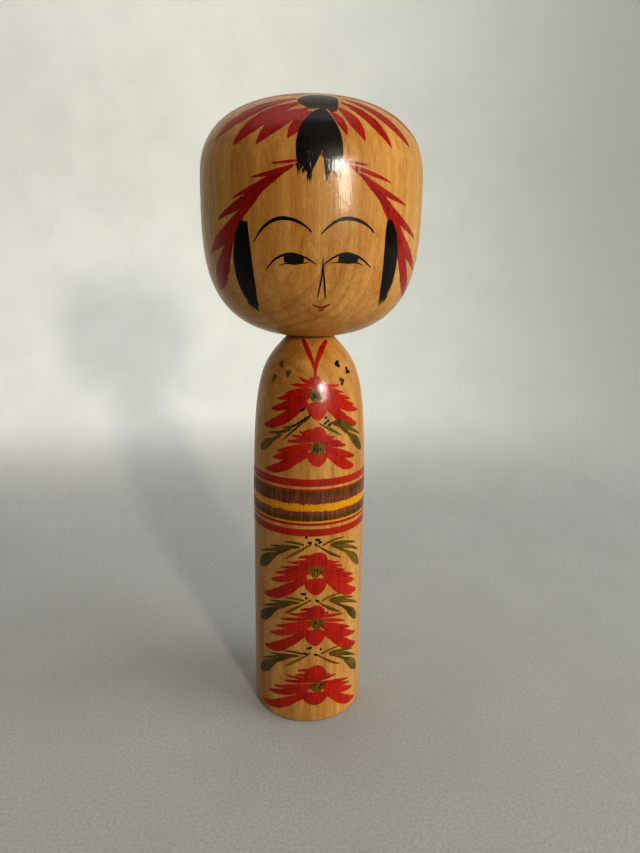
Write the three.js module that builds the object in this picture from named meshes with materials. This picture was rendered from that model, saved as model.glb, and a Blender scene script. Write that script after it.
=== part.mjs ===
// Kokeshi doll: a lathe-turned head that plugs into a lathe-turned body.
// Millimetres, +Z up. The doll stands on Z = 0 around the Z axis and its face looks along -Y.

import * as THREE from "three";

// Driving dimensions
const DOLL_HEIGHT = 242.4; // eight sun, a standard height for these dolls
const JOINT_GAP = 0.3; // clearance between the head and the body, all round
const LATHE_SIDES = 64; // facets round each turned piece

// Head: two superellipse quarters that meet at the widest ring
const HEAD_RADIUS = 40.6;
const HEAD_WIDEST_Z = 211.7;
const CROWN_ROUNDNESS = { across: 2.27, up: 2.91 };
const JAW_ROUNDNESS = { across: 2.48, up: 3.43 };
const JAW_BOTTOM_Z = 158.8; // where the jaw curve would close if no seat cut it off
const CROWN_STEPS = 13;
const JAW_STEPS = 15;

// Neck: a flat seat on the head, a flat face on the body, and a tenon in a blind socket
const NECK_FACE_Z = 159.05;
const NECK_FACE_RADIUS = 8.9;
const HEAD_SEAT_Z = NECK_FACE_Z + JOINT_GAP;
const TENON_RADIUS = 5.5;
const TENON_LENGTH = 20;
const TENON_CHAMFER = 0.8;
const SOCKET_RADIUS = TENON_RADIUS + JOINT_GAP;
const SOCKET_DEPTH = 22;
const SOCKET_MOUTH_CHAMFER = 0.5;
const DRILL_POINT_DEPTH = 1.6; // the cone that the bit leaves under the socket

// Body: a barely tapering cylinder with one long shoulder curve up to the neck
const BASE_RADIUS = 23;
const BASE_EDGE_RADIUS = 0.9;
const SHOULDER_START = { radius: 22.7, z: 87 };
const SHOULDER_PULL_UP = 59.8; // how far the shoulder curve first runs straight up
const SHOULDER_CONTROL = { radius: 19.1, z: 147.8 }; // sets the slope where it meets the neck
const SHOULDER_STEPS = 18;
const EDGE_STEPS = 3;

const headWood = new THREE.MeshStandardMaterial({ color: 0xc9924f, roughness: 0.38, metalness: 0 });
const bodyWood = new THREE.MeshStandardMaterial({ color: 0xc48b48, roughness: 0.38, metalness: 0 });

// One quarter of a superellipse, from its widest ring to the height of its pole.
function superellipseRing(angle, radius, height, roundness) {
  const across = radius * Math.cos(angle) ** (2 / roundness.across);
  const up = height * Math.sin(angle) ** (2 / roundness.up);
  return new THREE.Vector2(across, up);
}

// The angle at which the jaw curve reaches a given depth below the widest ring.
function jawAngleAtDepth(depth) {
  const share = depth / (HEAD_WIDEST_Z - JAW_BOTTOM_Z);
  return Math.asin(share ** (JAW_ROUNDNESS.up / 2));
}

function jawOutline() {
  const depth = HEAD_WIDEST_Z - JAW_BOTTOM_Z;
  const seatAngle = jawAngleAtDepth(HEAD_WIDEST_Z - HEAD_SEAT_Z);
  const points = [];
  for (let step = 0; step < JAW_STEPS; step += 1) {
    const angle = seatAngle * (1 - step / JAW_STEPS);
    const ring = superellipseRing(angle, HEAD_RADIUS, depth, JAW_ROUNDNESS);
    points.push(new THREE.Vector2(ring.x, HEAD_WIDEST_Z - ring.y));
  }
  return points;
}

function crownOutline() {
  const height = DOLL_HEIGHT - HEAD_WIDEST_Z;
  const points = [];
  for (let step = 0; step < CROWN_STEPS; step += 1) {
    const angle = (step / CROWN_STEPS) * (Math.PI / 2);
    const ring = superellipseRing(angle, HEAD_RADIUS, height, CROWN_ROUNDNESS);
    points.push(new THREE.Vector2(ring.x, HEAD_WIDEST_Z + ring.y));
  }
  points.push(new THREE.Vector2(0, DOLL_HEIGHT));
  return points;
}

function tenonOutline() {
  const endZ = HEAD_SEAT_Z - TENON_LENGTH;
  return [
    new THREE.Vector2(0, endZ),
    new THREE.Vector2(TENON_RADIUS - TENON_CHAMFER, endZ),
    new THREE.Vector2(TENON_RADIUS, endZ + TENON_CHAMFER),
    new THREE.Vector2(TENON_RADIUS, HEAD_SEAT_Z),
  ];
}

function baseEdgeOutline() {
  const points = [];
  for (let step = 0; step <= EDGE_STEPS; step += 1) {
    const angle = (step / EDGE_STEPS) * (Math.PI / 2);
    const inward = BASE_EDGE_RADIUS * (1 - Math.sin(angle));
    const up = BASE_EDGE_RADIUS * (1 - Math.cos(angle));
    points.push(new THREE.Vector2(BASE_RADIUS - inward, up));
  }
  return points;
}

function shoulderOutline() {
  const start = new THREE.Vector2(SHOULDER_START.radius, SHOULDER_START.z);
  const pulledUp = new THREE.Vector2(SHOULDER_START.radius, SHOULDER_START.z + SHOULDER_PULL_UP);
  const control = new THREE.Vector2(SHOULDER_CONTROL.radius, SHOULDER_CONTROL.z);
  const neck = new THREE.Vector2(NECK_FACE_RADIUS, NECK_FACE_Z);
  return new THREE.CubicBezierCurve(start, pulledUp, control, neck).getPoints(SHOULDER_STEPS);
}

function socketOutline() {
  const floorZ = NECK_FACE_Z - SOCKET_DEPTH;
  return [
    new THREE.Vector2(SOCKET_RADIUS + SOCKET_MOUTH_CHAMFER, NECK_FACE_Z),
    new THREE.Vector2(SOCKET_RADIUS, NECK_FACE_Z - SOCKET_MOUTH_CHAMFER),
    new THREE.Vector2(SOCKET_RADIUS, floorZ),
    new THREE.Vector2(0, floorZ - DRILL_POINT_DEPTH),
  ];
}

// Spins an outline, listed from the bottom up, round the Z axis.
function turned(name, outline, material) {
  const geometry = new THREE.LatheGeometry(outline, LATHE_SIDES);
  geometry.rotateX(Math.PI / 2);
  const mesh = new THREE.Mesh(geometry, material);
  mesh.name = name;
  return mesh;
}

function makeHead() {
  return turned("head", [...tenonOutline(), ...jawOutline(), ...crownOutline()], headWood);
}

function makeBody() {
  const axisPoint = new THREE.Vector2(0, 0);
  const outline = [axisPoint, ...baseEdgeOutline(), ...shoulderOutline(), ...socketOutline()];
  return turned("body", outline, bodyWood);
}

const kokeshiDoll = new THREE.Group();
kokeshiDoll.add(makeBody(), makeHead());

export default kokeshiDoll;
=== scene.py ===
"""The looks of a kokeshi doll: polished turned wood and its brushwork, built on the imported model.

Lengths are in metres and +Z is up. The doll stands round the Z axis and faces -Y. Brushwork is
drawn in millimetres on a flat chart of each turned surface, and then laid on it as a thin skin.
"""

import functools
import itertools
import math
import random

import bpy
import numpy as np
from mathutils import Matrix, Vector, geometry, noise


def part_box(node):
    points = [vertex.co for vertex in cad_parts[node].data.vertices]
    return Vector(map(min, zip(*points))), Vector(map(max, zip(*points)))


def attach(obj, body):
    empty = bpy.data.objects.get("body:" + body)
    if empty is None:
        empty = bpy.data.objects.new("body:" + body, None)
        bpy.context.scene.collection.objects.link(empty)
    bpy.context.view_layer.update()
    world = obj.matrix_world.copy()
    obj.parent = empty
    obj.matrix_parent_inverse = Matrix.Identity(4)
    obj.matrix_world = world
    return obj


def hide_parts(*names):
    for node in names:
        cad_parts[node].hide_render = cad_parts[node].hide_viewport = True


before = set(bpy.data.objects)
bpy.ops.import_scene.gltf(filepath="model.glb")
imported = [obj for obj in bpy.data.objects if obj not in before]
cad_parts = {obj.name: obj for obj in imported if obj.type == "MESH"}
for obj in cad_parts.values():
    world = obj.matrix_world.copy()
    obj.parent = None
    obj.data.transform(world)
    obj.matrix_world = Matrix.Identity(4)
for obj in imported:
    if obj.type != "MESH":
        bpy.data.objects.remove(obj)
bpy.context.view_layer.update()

MM = 0.001
TINY = 1e-9  # keeps a division from failing where a length is nothing
SIDES = 224  # facets round each turned piece
CURVE_STEPS = 600  # points on a curve before they are spaced evenly
HEAD_RING_GAP, BODY_RING_GAP = 0.7, 0.9  # mm between the rings of the turned meshes
SHARP_ANGLE = 32  # degrees: a steeper corner on a turned piece keeps its edge
SKIN_SINK = 0.05  # mm that the underside of a painted skin lies inside the wood
SKIN_GAP = 1.3  # mm between the points inside a painted skin

# ---------------------------------------------------------------- turned outlines

head_low, head_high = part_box("head")
_, body_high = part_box("body")

HEAD_RADIUS = head_high.x / MM
HEAD_TOP = head_high.z / MM
HEAD_WIDEST = 211.7
CROWN_ROUNDNESS = (2.27, 2.91)
JAW_ROUNDNESS = (2.48, 3.43)
JAW_BOTTOM = 158.8
NECK_FACE = body_high.z / MM
NECK_FACE_RADIUS = 8.9
JOINT_GAP = 0.3
HEAD_SEAT = NECK_FACE + JOINT_GAP
TENON_RADIUS = 5.5
TENON_END = head_low.z / MM
TENON_CHAMFER = 0.8
SOCKET_RADIUS = TENON_RADIUS + JOINT_GAP
SOCKET_DEPTH = 22
SOCKET_FLOOR = NECK_FACE - SOCKET_DEPTH
SOCKET_CHAMFER = 0.5
DRILL_POINT = 1.6
BODY_RADIUS = 22.7
BASE_RADIUS = body_high.x / MM
BASE_EDGE = 0.9
BASE_EDGE_STEPS = 7
SHOULDER = [(BODY_RADIUS, 87), (BODY_RADIUS, 146.8), (19.1, 147.8), (NECK_FACE_RADIUS, NECK_FACE)]


def superellipse(radius, height, roundness, count, reach=1.0):
    """Points from the pole of a superellipse quarter to its widest ring, as (radius, height)."""
    points = []
    for step in range(count + 1):
        angle = reach * (1 - step / count) * math.pi / 2
        across = radius * max(math.cos(angle), 0) ** (2 / roundness[0])
        points.append((across, height * math.sin(angle) ** (2 / roundness[1])))
    return points


def run_along(line):
    """The distance along a line at each of its points."""
    return np.concatenate([[0], np.cumsum(np.hypot(*np.diff(line, axis=0).T))])


def even(points, gap):
    """The same line with points about gap apart."""
    line = np.array(points, float)
    run = run_along(line)
    marks = np.linspace(0, run[-1], max(2, round(run[-1] / gap) + 1))
    return np.stack([np.interp(marks, run, line[:, 0]), np.interp(marks, run, line[:, 1])], 1)


def crown_to_seat():
    """The head's painted outline, from its pole down to the flat seat."""
    crown = superellipse(HEAD_RADIUS, HEAD_TOP - HEAD_WIDEST, CROWN_ROUNDNESS, CURVE_STEPS)
    depth = HEAD_WIDEST - JAW_BOTTOM
    seat_share = (HEAD_WIDEST - HEAD_SEAT) / depth
    reach = math.asin(seat_share ** (JAW_ROUNDNESS[1] / 2)) / (math.pi / 2)
    jaw = superellipse(HEAD_RADIUS, depth, JAW_ROUNDNESS, CURVE_STEPS, reach)
    upper = [(r, HEAD_WIDEST + z) for r, z in crown]
    lower = [(r, HEAD_WIDEST - z) for r, z in reversed(jaw)]
    return even(upper + lower[1:], HEAD_RING_GAP)


def base_to_neck():
    """The body's painted outline, from above the base edge up to the neck face."""
    t = np.linspace(0, 1, CURVE_STEPS)[:, None]
    a, b, c, d = (np.array(p, float) for p in SHOULDER)
    curve = (1 - t) ** 3 * a + 3 * (1 - t) ** 2 * t * b + 3 * (1 - t) * t**2 * c + t**3 * d
    return even([(BASE_RADIUS, BASE_EDGE), *curve.tolist()], BODY_RING_GAP)


def base_edge():
    """The rounded edge under the body, from the flat base outwards."""
    points = []
    for step in range(BASE_EDGE_STEPS):
        angle = step / BASE_EDGE_STEPS * math.pi / 2
        inward = BASE_EDGE * (1 - math.sin(angle))
        points.append((BASE_RADIUS - inward, BASE_EDGE * (1 - math.cos(angle))))
    return points


# ---------------------------------------------------------------- charts for painting


class Chart:
    """A painted outline with its run, the distance along it in millimetres, and its normal."""

    def __init__(self, outline, run_start, upward):
        self.radius, self.height = outline[:, 0], outline[:, 1]
        self.run = run_start + run_along(outline)
        out = np.gradient(self.height, self.run) * (1 if upward else -1)
        up = np.gradient(self.radius, self.run) * (-1 if upward else 1)
        length = np.hypot(out, up)
        self.out, self.up = out / length, up / length

    def lay(self, run, azimuth, lift):
        """Points in metres and normals at each run and azimuth (radians), lift mm off the wood."""
        out, up = np.interp(run, self.run, self.out), np.interp(run, self.run, self.up)
        length = np.hypot(out, up)
        out, up = out / length, up / length
        radius = np.interp(run, self.run, self.radius) + out * lift
        height = np.interp(run, self.run, self.height) + up * lift
        east, south = np.sin(azimuth), -np.cos(azimuth)
        points = np.stack([radius * east, radius * south, height], 1) * MM
        return points, np.stack([out * east, out * south, up], 1)


class HeadChart(Chart):
    """The head flattened round its crown. A point's distance from (0, 0) is its run down from the
    crown, and its direction is its azimuth, with the face along -Y."""

    def at(self, azimuth, drop):
        """A chart point from an azimuth in degrees, positive to the viewer's right, and a run."""
        angle = math.radians(azimuth)
        return (drop * math.sin(angle), -drop * math.cos(angle))

    def place(self, flat, lift):
        return self.lay(np.hypot(flat[:, 0], flat[:, 1]), np.arctan2(flat[:, 0], -flat[:, 1]), lift)

    def _axes(self, flat):
        run = np.maximum(np.hypot(flat[:, 0], flat[:, 1]), 1e-6)
        down = flat / run[:, None]
        shrink = np.interp(run, self.run, self.radius) / run
        return down, np.stack([-down[:, 1], down[:, 0]], 1), np.maximum(shrink, 0.02)

    def sideways(self, flat, tangent):
        """The chart step that is one millimetre across a path on the real surface."""
        down, around, shrink = self._axes(flat)
        along_down = (tangent * down).sum(1)
        along_around = (tangent * around).sum(1) * shrink
        length = np.maximum(np.hypot(along_down, along_around), TINY)
        side_down, side_around = -along_around / length, along_down / length
        return down * side_down[:, None] + around * (side_around / shrink)[:, None]

    def grain(self, flat):
        """The direction of the upright grain on the chart, and how much of it runs in the surface."""
        down, _, _ = self._axes(flat)
        run = np.hypot(flat[:, 0], flat[:, 1])
        return down, np.interp(run, self.run, self.out)

    def around(self, flat):
        """How far round the wood each point lies, in mm along its own ring."""
        run = np.hypot(flat[:, 0], flat[:, 1])
        return np.arctan2(flat[:, 0], -flat[:, 1]) * np.interp(run, self.run, self.radius)


class BodyChart(Chart):
    """The body unrolled: X is the azimuth times the body's radius and Y is the run up from the base."""

    def place(self, flat, lift):
        return self.lay(flat[:, 1], flat[:, 0] / BODY_RADIUS, lift)

    def sideways(self, flat, tangent):
        shrink = np.interp(flat[:, 1], self.run, self.radius) / BODY_RADIUS
        along_x, along_y = tangent[:, 0] * shrink, tangent[:, 1]
        length = np.maximum(np.hypot(along_x, along_y), TINY)
        return np.stack([-along_y / length / shrink, along_x / length], 1)

    def grain(self, flat):
        return np.tile([0.0, 1.0], (len(flat), 1)), np.interp(flat[:, 1], self.run, self.out)

    def around(self, flat):
        return flat[:, 0]


head_chart = HeadChart(crown_to_seat(), 0, upward=False)
body_chart = BodyChart(base_to_neck(), BASE_EDGE, upward=True)


# ---------------------------------------------------------------- brush strokes


def unit(vectors):
    """The same directions, each one long."""
    return vectors / np.maximum(np.hypot(vectors[:, 0], vectors[:, 1]), TINY)[:, None]


def winding(outline):
    """Twice the area inside a closed outline, positive when it runs anticlockwise."""
    ahead = np.roll(outline, -1, axis=0)
    return (outline[:, 0] * ahead[:, 1] - outline[:, 1] * ahead[:, 0]).sum()


def through(knots, count):
    """A smooth line through the knots, close together at both ends."""
    knots = np.array(knots, float)
    gaps = np.hypot(*np.diff(knots, axis=0).T)
    marks = np.concatenate([[0], np.cumsum(np.maximum(gaps, 1e-6) ** 0.5)])
    tangents = np.gradient(knots, marks, axis=0, edge_order=min(2, len(knots) - 1))
    t = marks[-1] * (1 - np.cos(np.linspace(0, math.pi, count))) / 2
    i = np.clip(np.searchsorted(marks, t, side="right") - 1, 0, len(marks) - 2)
    span = (marks[i + 1] - marks[i])[:, None]
    u = ((t - marks[i])[:, None]) / span
    a, b, da, db = knots[i], knots[i + 1], tangents[i] * span, tangents[i + 1] * span
    line = (2 * u**3 - 3 * u**2 + 1) * a + (u**3 - 2 * u**2 + u) * da
    return line + (3 * u**2 - 2 * u**3) * b + (u**3 - u**2) * db


def swell(peak=0.5, blunt=0.8, first=0.0, last=0.0):
    """A stroke's width along it, from 0 to 1: fullest at peak, with ends that keep a share."""
    power = math.log(0.5) / math.log(peak)

    def width(t):
        bump = np.sin(math.pi * np.clip(t, 0, 1) ** power) ** blunt
        ends = np.where(t < peak, first, last)
        cap = np.clip(np.minimum(t, 1 - t) / 0.04, 0, 1) ** 0.5
        return np.maximum(bump, ends * cap)

    return width


def teardrop(neck=0.16, full=0.72):
    """A leaf's width along it: a thin neck and then a round end."""

    def width(t):
        rise = np.clip((t - 0.25) / (full - 0.25), 0, 1)
        rise = rise * rise * (3 - 2 * rise)
        rounded = np.sqrt(np.clip(1 - (np.clip(t - full, 0, 1) / (1 - full)) ** 2, 0, 1))
        return (neck * np.clip(t / 0.1, 0, 1) + (1 - neck) * rise) * rounded

    return width


FIBRES_PER_MM = 1 / 0.42  # how closely the creeping fibres lie
TIP_HALF = 0.02  # mm that a stroke keeps where its width ends
SPINE_POINTS = 12


class Brushwork:
    """Strokes of one colour on one chart. They flow together into one painted skin."""

    def __init__(self, chart, bleed, seed):
        self.chart, self.bleed, self.seed = chart, bleed, seed
        self.outlines, self.lines, self.halves, self.slits = [], [], [], set()

    def _wick(self, flat, outward, wick=1.0):
        """Pushes an outline's points out along the grain, as dye creeps into the wood."""
        grain, share = self.chart.grain(flat)
        facing = (outward * grain).sum(1)
        rough = []
        for place, way in zip(self.chart.around(flat), facing):
            at = Vector((place * FIBRES_PER_MM, self.seed, 3.0 * np.sign(way)))
            rough.append(0.5 + 0.8 * noise.noise(at))
        push = self.bleed * wick * np.clip(rough, 0, 1.3) * share * facing
        return flat + grain * push[:, None]

    def stroke(self, knots, half, width=None, wobble=0.05, step=0.17, wick=1.0):
        """One stroke along the knots. half is its greatest half width in millimetres."""
        width = width or swell()
        length = run_along(through(knots, 24))[-1]
        line = through(knots, int(np.clip(length / step, 14, 260)))
        side = self.chart.sideways(line, np.gradient(line, axis=0))
        run = run_along(line)
        number = len(self.outlines)
        shake = [noise.noise(Vector((r * 0.35, number * 7.3, self.seed))) for r in run]
        halves = half * width(run / run[-1]) * (1 + wobble * np.array(shake)) + TIP_HALF
        left, right = line + side * halves[:, None], line - side * halves[:, None]
        outward = unit(np.concatenate([side, -side[::-1]]))
        self.outlines.append(self._wick(np.concatenate([left, right[::-1]]), outward, wick))
        self.lines.append((line, run))
        self.halves.append(halves)

    def slit(self, knots, half):
        """A dry streak where the bristles left the wood bare."""
        self.stroke(knots, half, swell(0.5, 1.0), wobble=0.3)
        self.slits.add(len(self.outlines) - 1)

    def area(self, *sides):
        """A closed patch inside smooth sides that meet at corners, listed round it."""
        line = np.concatenate([through(side, 14 * len(side))[:-1] for side in sides])
        ahead = np.roll(line, -1, axis=0) - np.roll(line, 1, axis=0)
        outward = unit(np.stack([ahead[:, 1], -ahead[:, 0]], 1)) * np.sign(winding(line))
        self.outlines.append(self._wick(line, outward))
        top, low = line[line[:, 1].argmax()], line[line[:, 1].argmin()]
        spine = np.array([top + (low - top) * share for share in np.linspace(0, 1, SPINE_POINTS)])
        self.lines.append((spine, run_along(spine)))
        self.halves.append(np.full(SPINE_POINTS, np.hypot(*(line - line.mean(0)).T).mean()))

    def fray(self, knots, half, count, reach, seed, fine=0.16):
        """Thin bristle ends past the end of a stroke whose last knots are given."""
        draw = random.Random(seed)
        line = through(knots, 30)
        end, before = line[-1], line[-8]
        heading = (end - before) / np.hypot(*(end - before))
        side = self.chart.sideways(end[None], heading[None])[0]
        for number in range(count):
            offset = (number + 0.5) / count * 2 - 1 + draw.uniform(-0.5, 0.5) / count
            start = before + side * offset * half
            tip = end + side * offset * half * draw.uniform(0.75, 0.95) + heading * draw.uniform(*reach)
            bristle = draw.uniform(0.8, 1.5) * fine
            self.stroke([start, (start + tip) / 2, tip], bristle, swell(0.3, 0.9), step=0.4)


def triangulate(brushwork):
    """The strokes' shared area as triangles on the chart, with the strokes over each triangle."""
    points, faces, cells = [], [], set()
    for outline in brushwork.outlines:
        first = len(points)
        points.extend((outline if winding(outline) > 0 else outline[::-1]).tolist())
        faces.append(list(range(first, len(points))))
        low = np.floor(outline.min(0) / SKIN_GAP).astype(int)
        high = np.ceil(outline.max(0) / SKIN_GAP).astype(int) + 1
        cells.update(itertools.product(range(low[0], high[0]), range(low[1], high[1])))
    draw = random.Random(11)
    for i, j in sorted(cells):
        shake = draw.uniform(-0.2, 0.2)
        points.append([(i + 0.5 * (j % 2) + shake) * SKIN_GAP, (j + shake) * SKIN_GAP])
    flat, _, triangles, _, _, over = geometry.delaunay_2d_cdt(
        [Vector(p) for p in points], [], faces, 1, 1e-6, True
    )
    flat = np.array([tuple(p) for p in flat])
    kept, owners, layers = [], [], []
    for triangle, strokes in zip(triangles, over):
        if not strokes or brushwork.slits.intersection(strokes):
            continue
        kept.append(list(triangle))
        owners.append(max(strokes))
        layers.append(len(strokes))
    return flat, np.array(kept), np.array(owners), np.array(layers, float)


def brush_marks(brushwork, flat, corners, owners):
    """Each corner's place in its own stroke: run along, way across, closeness to the edge, share."""
    marks = np.zeros((len(corners), 4))
    for stroke in np.unique(owners):
        line, run = brushwork.lines[stroke]
        halves = brushwork.halves[stroke]
        chosen = np.flatnonzero(owners == stroke)
        places = flat[corners[chosen]]
        away = places[:, None, :] - line[None]
        nearest = (away**2).sum(2).argmin(1)
        tangent = unit(np.gradient(line, axis=0))
        off = places - line[nearest]
        across = off[:, 1] * tangent[nearest, 0] - off[:, 0] * tangent[nearest, 1]
        along = run[nearest] + (off * tangent[nearest]).sum(1)
        marks[chosen, 0] = along
        marks[chosen, 1] = across
        marks[chosen, 2] = np.clip(np.abs(across) / np.maximum(halves[nearest], 0.05), 0, 1)
        marks[chosen, 3] = np.clip(along / run[-1], 0, 1)
    return marks


def painted_skin(name, brushwork, lift, material, body, slot):
    """Lays the brushwork on its turned surface as one thin closed skin, lift mm proud."""
    flat, triangles, owners, layers = triangulate(brushwork)
    used = np.unique(triangles)
    renumber = np.full(len(flat), -1)
    renumber[used] = np.arange(len(used))
    triangles, flat = renumber[triangles], flat[used]
    edge_a = flat[triangles[:, 1]] - flat[triangles[:, 0]]
    edge_b = flat[triangles[:, 2]] - flat[triangles[:, 0]]
    area = edge_a[:, 0] * edge_b[:, 1] - edge_a[:, 1] * edge_b[:, 0]
    triangles[area < 0] = triangles[area < 0][:, ::-1]
    top, normals = brushwork.chart.place(flat, lift)
    bottom, _ = brushwork.chart.place(flat, -SKIN_SINK)
    count = len(flat)
    sides = dict.fromkeys((t[corner], t[corner - 2]) for t in triangles.tolist() for corner in range(3))
    rim = [(a, b) for a, b in sides if (b, a) not in sides]
    faces = triangles.tolist()
    faces += [[c + count, b + count, a + count] for a, b, c in triangles.tolist()]
    faces += [[b, a, a + count, b + count] for a, b in rim]
    mesh = smooth_mesh(name, np.concatenate([top, bottom]).tolist(), faces)
    set_skin_normals(mesh, normals, len(triangles))
    marks = brush_marks(brushwork, flat, triangles.ravel(), np.repeat(owners, 3))
    write_marks(mesh, marks, owners, layers, len(triangles))
    return add_piece(name, mesh, material, body, slot)


def set_skin_normals(mesh, normals, top_count):
    """Gives the painted face the turned surface's own normals, and the rest flat ones."""
    split = []
    for polygon in mesh.polygons:
        for vertex in polygon.vertices:
            split.append(normals[vertex] if polygon.index < top_count else polygon.normal)
    mesh.normals_split_custom_set(split)


def write_marks(mesh, marks, owners, layers, top_count):
    """Stores the brush marks on the mesh, where the paint's material reads them."""
    values = np.zeros((len(mesh.loops), 4))
    values[: len(marks)] = marks
    for name, columns in (("Brush", values[:, :2]), ("Edge", values[:, 2:])):
        mesh.uv_layers.new(name=name).data.foreach_set("uv", columns.ravel())
    rest = len(mesh.polygons) - top_count
    tones = np.array([random.Random(int(o) * 31 + 5).random() for o in owners])
    for name, top, under in (("tone", tones, np.zeros(rest)), ("layers", layers, np.ones(rest))):
        mesh.attributes.new(name, "FLOAT", "FACE").data.foreach_set("value", np.concatenate([top, under]))


def smooth_mesh(name, points, faces):
    mesh = bpy.data.meshes.new(name)
    mesh.from_pydata(points, [], faces)
    mesh.polygons.foreach_set("use_smooth", [True] * len(mesh.polygons))
    mesh.update()
    return mesh


def add_piece(name, mesh, material, body, slot):
    piece = bpy.data.objects.new(name, mesh)
    bpy.context.scene.collection.objects.link(piece)
    mesh.materials.append(material)
    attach(piece, body)
    return piece


# ---------------------------------------------------------------- materials


class Nodes:
    """A node tree with short calls to add and join its nodes."""

    def __init__(self, tree):
        self.tree = tree

    def add(self, kind, inputs=(), **settings):
        made = self.tree.nodes.new(kind)
        for key, value in settings.items():
            setattr(made, key, value)
        for key, value in dict(inputs).items():
            socket = made.inputs[key]
            if isinstance(value, bpy.types.NodeSocket):
                self.tree.links.new(value, socket)
            else:
                socket.default_value = value
        return made

    def math(self, operation, a, b=0.0):
        return self.add("ShaderNodeMath", {0: a, 1: b}, operation=operation).outputs[0]

    def total(self, *parts):
        """The sum of each value times its weight."""
        scaled = [self.math("MULTIPLY", value, weight) for value, weight in parts]
        return functools.reduce(lambda a, b: self.math("ADD", a, b), scaled)

    def vector(self, operation, a, b):
        return self.add("ShaderNodeVectorMath", {0: a, 1: b}, operation=operation).outputs[0]

    def noise(self, vector, scale, detail=2, roughness=0.5):
        inputs = {"Vector": vector, "Scale": scale, "Detail": detail, "Roughness": roughness}
        return self.add("ShaderNodeTexNoise", inputs).outputs["Fac"]

    def fibres(self, place, squash, scale, detail=2, roughness=0.5):
        """Noise drawn out along the grain, which runs along Z: the less the squash, the longer."""
        return self.noise(self.vector("MULTIPLY", place, (1.0, 1.0, squash)), scale, detail, roughness)

    def between(self, value, low, high, to_low=0.0, to_high=1.0, smooth=True):
        inputs = {"Value": value, "From Min": low, "From Max": high, "To Min": to_low, "To Max": to_high}
        kind = "SMOOTHSTEP" if smooth else "LINEAR"
        return self.add("ShaderNodeMapRange", inputs, interpolation_type=kind).outputs["Result"]

    def mix(self, share, a, b, blend="MIX"):
        made = self.add("ShaderNodeMix", {0: share, 6: a, 7: b}, data_type="RGBA", blend_type=blend)
        return made.outputs[2]


def new_material(name, make):
    """A material whose surface is the shader socket that make(nodes) gives."""
    material = bpy.data.materials.new(name)
    material.use_nodes = True
    material.node_tree.nodes.clear()
    n = Nodes(material.node_tree)
    n.add("ShaderNodeOutputMaterial", {"Surface": make(n)})
    return material


def rgb(red, green, blue):
    """A screen colour, 0 to 255, as the linear colour that nodes take."""
    channels = []
    for value in (red, green, blue):
        share = value / 255
        channels.append(share / 12.92 if share <= 0.04045 else ((share + 0.055) / 1.055) ** 2.4)
    return (*channels, 1.0)


TREE_HEART = (0.062, 0.047)  # metres: it lies outside the doll, so the rings show as upright lines
RING_GAP = 0.0034  # metres between growth rings
RING_WAVER = 0.011  # metres that a ring strays
WOOD_OUTPUTS = (("Color", "Color"), ("Height", "Float"), ("Roughness", "Float"))


def growth_rings(n, place):
    """How much late wood there is at a point: a dark line in each ring, each as strong as it is."""
    xyz = n.add("ShaderNodeSeparateXYZ", {0: place})
    off_x, off_y = (n.math("SUBTRACT", xyz.outputs[axis], TREE_HEART[axis]) for axis in (0, 1))
    away = n.math("SQRT", n.total((off_x, off_x), (off_y, off_y)))
    away = n.total((away, 1.0), (n.fibres(place, 0.16, 26), RING_WAVER))
    rings = n.math("DIVIDE", away, RING_GAP)
    ring = n.math("FRACT", rings)
    late = n.math("MULTIPLY", n.between(ring, 0.55, 0.97), n.between(ring, 1.0, 0.985))
    own = n.add("ShaderNodeTexWhiteNoise", {"W": n.math("FLOOR", rings)}, noise_dimensions="1D")
    return n.math("MULTIPLY", late, n.math("ADD", n.math("MULTIPLY", own.outputs["Value"], 0.85), 0.15))


def wood_group():
    """Upright-grained pale wood, browned by age: its colour, height and roughness at each point."""
    group = bpy.data.node_groups.new("TurnedWood", "ShaderNodeTree")
    for name, kind in WOOD_OUTPUTS:
        group.interface.new_socket(name, in_out="OUTPUT", socket_type=f"NodeSocket{kind}")
    group.interface.new_socket("Shift", in_out="INPUT", socket_type="NodeSocketVector")
    n = Nodes(group)
    shift = n.add("NodeGroupInput").outputs["Shift"]
    place = n.vector("ADD", n.add("ShaderNodeTexCoord").outputs["Object"], shift)
    long_fibre = n.fibres(place, 0.035, 1300, 3, 0.6)
    hair = n.fibres(place, 0.05, 3600, 2, 0.6)
    band = n.fibres(place, 0.06, 170)
    fleck = n.between(n.fibres(place, 0.16, 2300, 2, 0.55), 0.58, 0.72)
    ray = n.between(n.fibres(place, 0.4, 2900, 1), 0.6, 0.72)
    cloud = n.between(n.noise(place, 34, 3, 0.55), 0.35, 0.7, 0.0, 0.5)
    mottle = n.between(n.fibres(place, 0.6, 420, 2, 0.6), 0.45, 0.75, 0.0, 0.28)
    tone = n.between(n.total((long_fibre, 0.42), (band, 0.55), (hair, 0.16)), 0.38, 0.78, smooth=False)
    wood = n.mix(tone, rgb(168, 114, 50), rgb(220, 176, 108))
    wood = n.mix(cloud, wood, rgb(190, 136, 66))
    wood = n.mix(mottle, wood, rgb(158, 100, 42))
    wood = n.mix(n.math("MULTIPLY", growth_rings(n, place), 0.34), wood, rgb(122, 72, 22))
    wood = n.mix(n.math("MULTIPLY", fleck, 0.3), wood, rgb(108, 58, 16))
    wood = n.mix(n.math("MULTIPLY", ray, 0.22), wood, rgb(236, 190, 116))
    height = n.total((long_fibre, 0.6), (hair, 0.4), (fleck, -0.5))
    smear = n.between(n.noise(place, 55, 4, 0.6), 0.3, 0.7, 0.36, 0.46)
    rough = n.total((smear, 1.0), (fleck, 0.08))
    out = n.add("NodeGroupOutput")
    for (name, _), value in zip(WOOD_OUTPUTS, (wood, height, rough)):
        group.links.new(value, out.inputs[name])
    return group


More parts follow.
